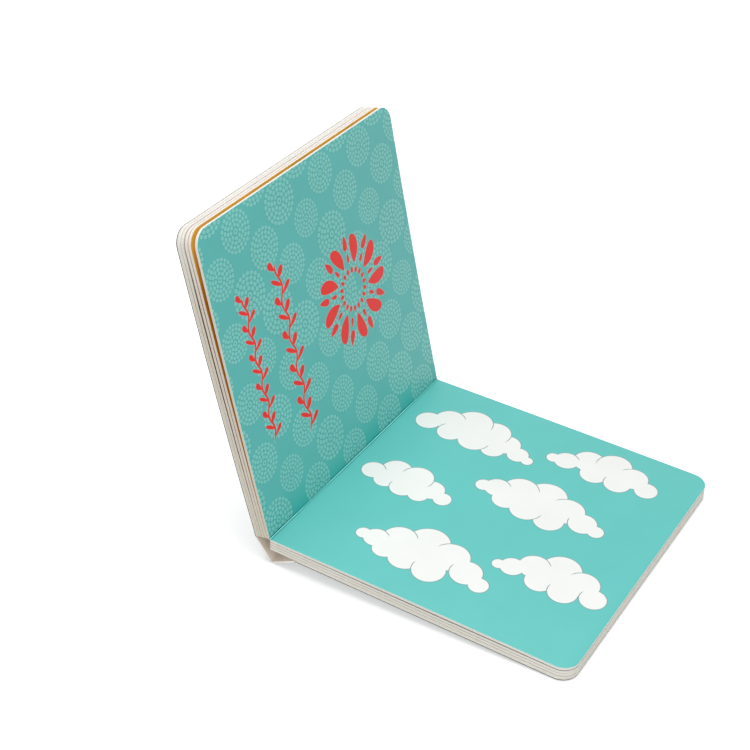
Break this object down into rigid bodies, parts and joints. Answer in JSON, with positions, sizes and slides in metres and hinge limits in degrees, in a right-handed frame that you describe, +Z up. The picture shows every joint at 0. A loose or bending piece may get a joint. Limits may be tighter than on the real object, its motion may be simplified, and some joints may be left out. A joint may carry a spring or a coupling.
{
  "type": "board book",
  "caption": "Square board book of thick leaves with rounded corners, standing open in an L: one half lies down, the other leans back, and the spine card folds loosely between them.",
  "frame": {"origin": "centre of the bounding box's base, on the surface that the book stands on", "axes": "+X from the gutter towards the fore edge of the half that lies down, +Y along the gutter, +Z up"},
  "size_m": [0.208, 0.165, 0.1773],
  "materials": {
    "leaves": "printed board with a satin film, cream cut edges",
    "cover_card": "printed card outside, bare beige card inside"
  },
  "bodies": {
    "right_half": {"right_pages": "leaves", "back_cover": "cover_card"},
    "left_half": {"left_pages": "leaves", "front_cover": "cover_card"},
    "hinge_strip": {"back_hinge_strip": "cover_card"},
    "spine": {"spine_panel": "cover_card"}
  },
  "joints": [
    {"name": "gutter_hinge", "type": "hinge", "parent": "right_half", "child": "left_half", "pos_m": [-0.06086, 0, 0.01513], "axis": [0, -1, 0], "range_deg": [-102.7, 76.8]},
    {"name": "strip_fold", "type": "hinge", "parent": "right_half", "child": "hinge_strip", "pos_m": [-0.0457, 0, 0.00693], "axis": [0, -1, 0], "range_deg": [-27.62, 20.66]},
    {"name": "spine_fold", "type": "hinge", "parent": "hinge_strip", "child": "spine", "pos_m": [-0.0605, 0, 0.0009], "axis": [0, -1, 0], "range_deg": [-7.76, 5.81]}
  ],
  "couplings": [
    {"joint": "strip_fold", "follows": "gutter_hinge", "ratio": 0.26891},
    {"joint": "spine_fold", "follows": "gutter_hinge", "ratio": 0.07553}
  ]
}
